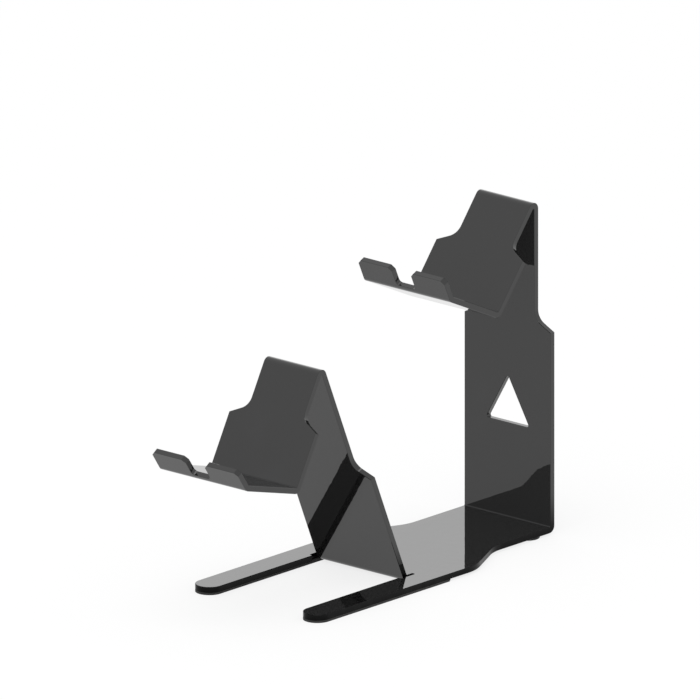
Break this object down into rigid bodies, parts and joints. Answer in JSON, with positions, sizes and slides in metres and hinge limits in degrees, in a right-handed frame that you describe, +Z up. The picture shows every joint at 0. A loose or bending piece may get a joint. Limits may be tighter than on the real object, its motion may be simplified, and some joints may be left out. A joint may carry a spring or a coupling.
{
  "type": "game controller stand",
  "caption": "Two-tier desk stand folded from one sheet, with a pronged base, a windowed rear plate and tilted hooked holders for game controllers.",
  "frame": {"origin": "middle of the stand's plan, on the surface that it stands on", "axes": "-Y is the front, where the holders open; +X is the stand's left as seen by the person facing out of it; +Z is up"},
  "size_m": [0.072, 0.1998, 0.1431],
  "materials": {
    "gloss_sheet": "high gloss black acrylic, polished edges",
    "rubber_pads": "matte black"
  },
  "bodies": {
    "root": {"folded_stand": "gloss_sheet", "left_prong_pad": "rubber_pads", "right_prong_pad": "rubber_pads", "left_rear_foot": "rubber_pads", "right_rear_foot": "rubber_pads"}
  },
  "joints": []
}
